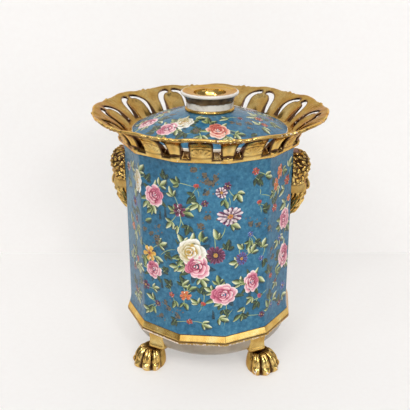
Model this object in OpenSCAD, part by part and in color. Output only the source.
// Potpourri vase: a twelve-sided porcelain pot on lion paws, with a pierced
// flaring gallery, two mask handles and a domed lid with a trumpet knob.
// Millimetres. +Z is up, the front faces -Y, and the floor is z = 0.

/* [Body] */
// Corner radius of the twelve-sided wall
body_r = 68; // [56:0.5:80]
// Height of the wall between the plinth and the gallery
body_h = 141.5; // [110:0.5:200]
// Thickness of the wall
body_wall = 4.5; // [3:0.1:7]
// How far the wall spreads outwards at its two ends
body_flare = 1.2; // [0.5:0.1:2.5]
// Height over which each end spreads
flare_h = 9; // [5:0.5:15]

/* [Plinth] */
// How far the gilt band stands out past the wall's foot
plinth_spread = 2; // [1:0.1:4]
// Height of the gilt band
plinth_h = 6; // [4:0.5:10]
// Height of the upright edge at the bottom of the band
plinth_edge = 1.6; // [0.8:0.1:3]
// Height of the gilt band above the floor
plinth_z = 36; // [32:0.5:44]
// Depth of the round belly under the band
belly_drop = 26; // [20:0.5:28]
// Thickness of the belly's wall
belly_t = 6; // [4:0.5:9]

/* [Gallery] */
// How far the rim stands out past the wall
rim_spread = 24; // [16:0.5:32]
// Height of the gallery
gallery_h = 23.5; // [18:0.5:32]
// Thickness of the rim's edge
rim_t = 2.8; // [2:0.1:4]
// Depth of the rim's scallops
scallop = 0.9; // [0:0.1:1.5]
// Height of the ledge that carries the lid
ledge_h = 5; // [4:0.5:6]
// Width of the ledge
ledge_w = 8; // [6:0.5:11]
// Distance from a tongue's middle to the middle of its slots
slot_reach = 11.2; // [9.5:0.1:12.5]
// Width of a slot at its foot
slot_w = 5.2; // [3.5:0.1:5.8]
// Width of the bridge at the top of each tongue
bridge_w = 3.2; // [2:0.1:5]

/* [Lid] */
// Gap round the edge of the lid
lid_play = 3.4; // [2.5:0.1:5]
// Thickness of the lid's edge
lid_edge_t = 3.2; // [2.5:0.1:5]
// Rise of the dome from its edge to the knob
lid_rise = 14; // [8:0.5:22]
// Thickness of the dome
lid_t = 4; // [3:0.1:6]
// Depth of the locating flange under the lid
flange_h = 7; // [4:0.5:12]
// Thickness of the flange
flange_t = 3.5; // [2.5:0.1:5]
// Gap between the flange and the ledge
flange_play = 1.5; // [0.5:0.1:2.5]

/* [Knob] */
// Radius of the knob's foot
knob_foot_r = 19; // [14:0.5:24]
// Radius of the knob's lip
knob_lip_r = 22.7; // [18:0.1:28]
// Height of the knob
knob_h = 15; // [11:0.5:22]
// Thickness of the lip
knob_lip_t = 2.6; // [1.8:0.1:4]
// Radius of the gilt cup inside the knob
cup_r = 11.5; // [8:0.5:13]
// Depth of the cup below its shoulder
cup_depth = 7.5; // [5:0.5:9]

/* [Paws] */
// How far the ankles stand inside the gilt band
ankle_inset = 13.5; // [12:0.5:18]
// Height of the ankle's top, where it meets the belly
ankle_h = 27; // [24:0.5:30]
// Height of the instep, where the ankle stands on the toes
instep_h = 13; // [11:0.5:15]
// Reach of the toes from the ankle's middle
toe_reach = 18.5; // [16:0.5:24]
// Width of the paw across its toes
paw_w = 30; // [26:0.5:34]
// Width of the flat-fronted ankle
ankle_w = 14.5; // [12:0.5:17]
// Depth of the ankle from front to back
ankle_d = 9; // [7:0.5:12]

/* [Masks] */
// Height of a mask
mask_h = 54; // [44:0.5:62]
// Width of a mask
mask_w = 33; // [26:0.5:34]
// Depth of a mask from the wall to its hair
mask_d = 17.5; // [12:0.5:20]
// Height of the mask's middle below the gallery
mask_drop = 36.5; // [33:0.5:48]

/* [Hidden] */
SIDES = 12;
TOES = 4;
TOE_FAN = 50;
PAW_ANGLES = [-45, 45, 135, 225];
ROUND = 128;

pitch = 360 / SIDES;
half_pitch = pitch / 2;
apothem = body_r * cos(half_pitch);
end_r = body_r + body_flare;
bore_r = body_r - body_wall;

wall_z = plinth_z + plinth_h;
gallery_z = wall_z + body_h;
plinth_r = end_r + plinth_spread;
belly_r = plinth_r * cos(half_pitch) - 2.2;

rim_r = body_r + rim_spread;
ledge_z = gallery_z + ledge_h;
seat_r = apothem - 0.7;
mouth_r = seat_r - ledge_w;

lid_r = seat_r - lid_play;
flange_r = mouth_r - flange_play;
lid_top = ledge_z + lid_edge_t + lid_rise;
knob_seat_r = knob_foot_r + 1;

BLUE = "#4788b5";
GOLD = "#c39a45";
WHITE = "#ece6de";

// Small formulas

function mix(a, b, t) = a + (b - a) * t;
function ease(t) = t * t * (3 - 2 * t);
function bump(x, width) = exp(-pow(x / width, 2));
function curve(a, b, c, t) = (1 - t) * (1 - t) * a + 2 * t * (1 - t) * b + t * t * c;

// Radius of a twelve-sided outline of unit corner radius, flat towards angle 0
function flat_sided(angle) = cos(half_pitch) / cos((angle + half_pitch + 720) % pitch - half_pitch);

// A solid skinned over rings of points, each ring as long as the next. An
// endless one joins its last ring to its first, and any other has flat ends.
module skin(rings, endless = false) {
    n = len(rings);
    m = len(rings[0]);
    last = endless ? n - 1 : n - 2;
    sides = [
        for (i = [0:last], j = [0:m - 1])
            let (a = i * m, b = ((i + 1) % n) * m, k = (j + 1) % m)
            each [[a + j, a + k, b + k], [a + j, b + k, b + j]]
    ];
    ends = endless ? [] : [
        [for (j = [m - 1:-1:0]) j],
        [for (j = [0:m - 1]) (n - 1) * m + j]
    ];
    polyhedron(points = [for (ring = rings) each ring], faces = concat(sides, ends), convexity = 8);
}

// A twelve-sided solid with a flat side towards each axis
module twelve_sided() {
    rotate(half_pitch) rotate_extrude($fn = SIDES) children();
}

// Half outline of the belly, from its rim down to its middle. It drops steeply
// under the band and then runs in as a shallow bowl.
BELLY_STEPS = [0, 3, 8, 15, 25, 40, 60, 90];
function belly_outline(r, drop) =
    [for (a = BELLY_STEPS) [r * pow(cos(a), 1.4), plinth_z - drop * pow(sin(a), 0.65)]];

module belly_solid(r, drop, top) {
    rotate_extrude($fn = ROUND) polygon(concat([[0, top], [r, top]], belly_outline(r, drop)));
}

// The foot that the wall stands on: twelve-sided gilt band over a round white belly
module base_plinth() {
    color(GOLD) difference() {
        union() {
            twelve_sided() polygon([
                [0, plinth_z - 0.8], [plinth_r - 1.6, plinth_z - 0.8], [plinth_r, plinth_z],
                [plinth_r, plinth_z + plinth_edge], [end_r, wall_z], [0, wall_z]
            ]);
            belly_solid(belly_r, belly_drop, plinth_z);
        }
        belly_solid(belly_r - belly_t, belly_drop - belly_t, wall_z + 1);
    }
}

// The wall, straight but for the small spread at each end
module body_wall() {
    steps = 4;
    foot = [for (i = [0:steps]) [body_r + body_flare * pow(1 - i / steps, 2), wall_z + flare_h * i / steps]];
    head = [for (i = [0:steps]) [body_r + body_flare * pow(i / steps, 2), gallery_z - flare_h * (1 - i / steps)]];
    color(BLUE) twelve_sided() polygon(concat(foot, head, [[bore_r, gallery_z], [bore_r, wall_z]]));
}

// One section through the gallery at an angle. Its outside turns from the
// wall's twelve sides to the round scalloped rim, and its inside is round.
function gallery_section(angle) =
    let (
        steps = 5,
        wave = scallop * cos(SIDES * angle),
        edge = [rim_r + wave, gallery_h],
        outside = [[end_r, 0], [end_r + 4.5, 0.6 * gallery_h], edge - [0.8, rim_t]],
        inside = [[seat_r, ledge_h], [seat_r + 5, 0.68 * gallery_h], edge - [1.8, 0]]
    )
    concat(
        [for (i = [0:steps]) let (t = i / steps, p = curve(outside[0], outside[1], outside[2], t))
            [p[0] * mix(flat_sided(angle), 1, ease(t)), p[1]]],
        [edge - [0, 0.6 * rim_t], edge - [0.4, 0.2 * rim_t]],
        [for (i = [steps:-1:0]) curve(inside[0], inside[1], inside[2], i / steps)],
        [[mouth_r, ledge_h], [mouth_r, 0]]
    );

module gallery_ring() {
    turns = 6 * SIDES;
    skin([
        for (i = [0:turns - 1])
            let (angle = -360 * i / turns)
            [for (p = gallery_section(angle)) [p[0] * cos(angle), p[0] * sin(angle), gallery_z + p[1]]]
    ], endless = true);
}

// Half of the arched slot round a tongue, square through the sloping wall.
// It narrows as it climbs from its foot to the bridge.
module half_slot() {
    steps = 6;
    slope = 45;
    mid = [body_r + 9, 0.53 * gallery_h];
    low = -0.45 * gallery_h;
    spring = 0.02 * gallery_h;
    high = 0.45 * gallery_h;
    top_r = slot_w / 2 - 0.5;
    near = bridge_w / 2 + top_r;
    foot_r = slot_w / 2;
    path = concat(
        [[slot_reach - 0.6, low]],
        [for (i = [0:steps - 2]) let (a = 90 * i / (steps - 2))
            [mix(near, slot_reach, cos(a)), spring + (high - spring) * sin(a)]]
    );
    translate([mid[0], 0, gallery_z + mid[1]]) rotate([0, slope + 90, 0])
        for (i = [0:steps - 2]) hull() for (k = [i, i + 1])
            translate([-path[k][1], path[k][0], 0])
                cylinder(r = mix(foot_r, top_r, k / (steps - 1)), h = 16, center = true, $fn = 8);
}

// The pierced gallery, with the ledge for the lid inside its foot
module gallery() {
    color(GOLD) difference() {
        gallery_ring();
        for (i = [0:SIDES - 1]) rotate(i * pitch) for (side = [0, 1]) mirror([0, side, 0]) half_slot();
    }
}

// Lion paw: a flat-fronted ankle on four toes, skinned over level outlines.
// It stands along +X, with its ankle on the Z axis.
function ankle_outline(angle) = pow(pow(abs(cos(angle)) * 2 / ankle_d, 10) + pow(abs(sin(angle)) * 2 / ankle_w, 10), -0.1);
function paw_outline(angle) = lookup(abs(angle), [
    [0, toe_reach], [37, toe_reach * 0.97], [50, toe_reach * 0.86], [70, paw_w * 0.45],
    [90, paw_w * 0.37], [135, ankle_w * 0.62], [180, ankle_d * 0.85]
]);
function toe_ridge(angle) = abs(angle) > TOE_FAN ? -0.5 : abs(sin(90 * TOES * angle / TOE_FAN)) - 0.5;

function paw_ring(angle, reach, height, relief) =
    let (r = paw_outline(angle) * reach * (1 + relief * toe_ridge(angle)))
    [r * cos(angle), r * sin(angle), height];
function ankle_ring(angle, grow, height) =
    let (r = ankle_outline(angle) + grow)
    [r * cos(angle), r * sin(angle), height];

module paw() {
    toe_steps = 6 * TOES;
    toes = [for (i = [0:toe_steps]) TOE_FAN * (2 * i / toe_steps - 1)];
    side = [for (a = [60, 72, 90, 110, 135, 155]) a];
    round_trip = concat([-180], [for (i = [5:-1:0]) -side[i]], toes, side);
    levels = [
        [0.94, 0, 0.10], [1.00, 0.18, 0.13], [0.98, 0.40, 0.14], [0.90, 0.64, 0.14],
        [0.76, 0.84, 0.12], [0.56, 0.97, 0.08]
    ];
    skin(concat(
        [for (l = levels) [for (a = round_trip) paw_ring(a, l[0], l[1] * instep_h, l[2])]],
        [
            [for (a = round_trip) ankle_ring(a, 0.7, instep_h)],
            [for (a = round_trip) ankle_ring(a, 0, instep_h + 1.5)],
            [for (a = round_trip) ankle_ring(a, 0, ankle_h)]
        ]
    ));
}

module placed_paw(i) {
    color(GOLD) difference() {
        rotate(PAW_ANGLES[i]) translate([plinth_r - ankle_inset, 0, 0]) paw();
        belly_solid(belly_r, belly_drop, plinth_z);
    }
}

// Bearded mask in low relief, over a flat back. x and y run from -1 to 1
// across and up the mask, and the height is a share of its depth.
MASK_WIDTH = [[-1, 0.10], [-0.7, 0.42], [-0.4, 0.66], [-0.1, 0.84], [0.2, 0.96], [0.5, 1], [0.8, 0.8], [1, 0.36]];
MASK_DEPTH = [
    [-1, 0.1], [-0.9, 0.27], [-0.69, 0.46], [-0.44, 0.66], [-0.13, 0.76], [0.2, 0.78], [0.4, 0.82],
    [0.6, 0.85], [0.8, 0.76], [0.95, 0.46], [1, 0.22]
];
CURLS = 9;

function mask_nose(x, y) = 0.17 * bump(x, 0.16) * bump(y + 0.04, 0.15);
function mask_brow(x, y) = 0.07 * bump(y - 0.27, 0.07) * bump(abs(x) - 0.3, 0.22);
function mask_eye(x, y) =
    0.05 * bump(abs(x) - 0.34, 0.09) * bump(y - 0.13, 0.05) - 0.11 * bump(abs(x) - 0.34, 0.15) * bump(y - 0.14, 0.09);
function mask_mouth(x, y) =
    0.05 * bump(x, 0.2) * (bump(y + 0.27, 0.04) + bump(y + 0.38, 0.04)) - 0.05 * bump(x, 0.24) * bump(y + 0.325, 0.03);
function mask_beard(x, y) = y > -0.42 ? 0 : 0.05 * ease(min(1, (-0.42 - y) / 0.2)) * cos(360 * (2.2 * abs(x) + 0.5 * y));
function mask_hair(x, y, i = 0) = i == CURLS ? 0 :
    let (a = -20 + 220 * i / (CURLS - 1))
    0.14 * bump(norm([x - 0.74 * cos(a), 1.2 * (y - 0.42 - 0.4 * sin(a))]), 0.16) + mask_hair(x, y, i + 1);
function mask_height(p, y) =
    let (x = p * lookup(y, MASK_WIDTH), fall = pow(1 - pow(abs(p), 3), 0.6))
    fall * (lookup(y, MASK_DEPTH) + mask_nose(x, y) + mask_brow(x, y) + mask_eye(x, y) + mask_mouth(x, y)
        + mask_beard(x, y) + mask_hair(x, y));

// It stands on the facet that faces +X
module mask() {
    across = 22;
    up = 27;
    color(GOLD) skin([
        for (j = [0:up]) let (y = -1 + 2 * j / up)
        [for (i = [0:across]) let (p = -1 + 2 * i / across, x = p * lookup(y, MASK_WIDTH))
            [
                apothem + mask_d * max(0, mask_height(p, y)),
                -x * mask_w / 2,
                gallery_z - mask_drop + y * mask_h / 2
            ]]
    ]);
}

// The domed lid, turned in one piece with the flange that locates it
module lid_dome() {
    steps = 8;
    edge = [lid_r, ledge_z + lid_edge_t];
    shoulder = [mix(lid_r, knob_seat_r, 0.42), lid_top - 0.38 * lid_rise];
    crown = [knob_seat_r, lid_top];
    under = [flange_r - flange_t, ledge_z];
    under_top = lid_top - lid_t;
    color(BLUE) rotate_extrude($fn = ROUND) polygon(concat(
        [[lid_r - 0.6, ledge_z], [lid_r, ledge_z + 0.6], edge - [0, 0.8]],
        [for (i = [0:steps]) curve(edge - [0.6, 0], shoulder, crown, i / steps)],
        [[0, lid_top], [0, under_top]],
        [for (i = [0:steps]) curve([knob_seat_r, under_top], shoulder - [2, lid_t], under, i / steps)],
        [[flange_r - flange_t, ledge_z - flange_h], [flange_r, ledge_z - flange_h], [flange_r, ledge_z]]
    ));
}

// The trumpet knob: gilt ring at its foot, waisted neck, rolled lip, gilt cup
module lid_knob() {
    steps = 8;
    top = lid_top + knob_h;
    ring_h = 2.4;
    waist_r = knob_foot_r - 0.6;
    lip = knob_lip_t / 2;
    neck = [for (i = [0:steps]) curve(
        [waist_r, lid_top + ring_h],
        [waist_r, lid_top + 0.72 * knob_h],
        [knob_lip_r - 0.5 * lip, top - 1.8 * lip], i / steps)];
    roll = [for (a = [-60:30:90]) [knob_lip_r - lip + lip * cos(a), top - lip + lip * sin(a)]];
    shoulder_z = top - 0.24 * knob_h;
    bowl = [for (i = [0:steps]) [cup_r * cos(90 * i / steps), shoulder_z - cup_depth * sin(90 * i / steps)]];
    color(WHITE) rotate_extrude($fn = ROUND) polygon(concat(
        [[0, lid_top], [knob_foot_r, lid_top], [knob_foot_r + 0.5, lid_top + ring_h / 2], [knob_foot_r, lid_top + ring_h]],
        neck, roll, bowl
    ));
}

base_plinth();
body_wall();
gallery();
rotate(180) mask();  // mask_left
mask();  // mask_right
placed_paw(0);  // paw_front_right
placed_paw(1);  // paw_rear_right
placed_paw(2);  // paw_rear_left
placed_paw(3);  // paw_front_left
lid_dome();
lid_knob();
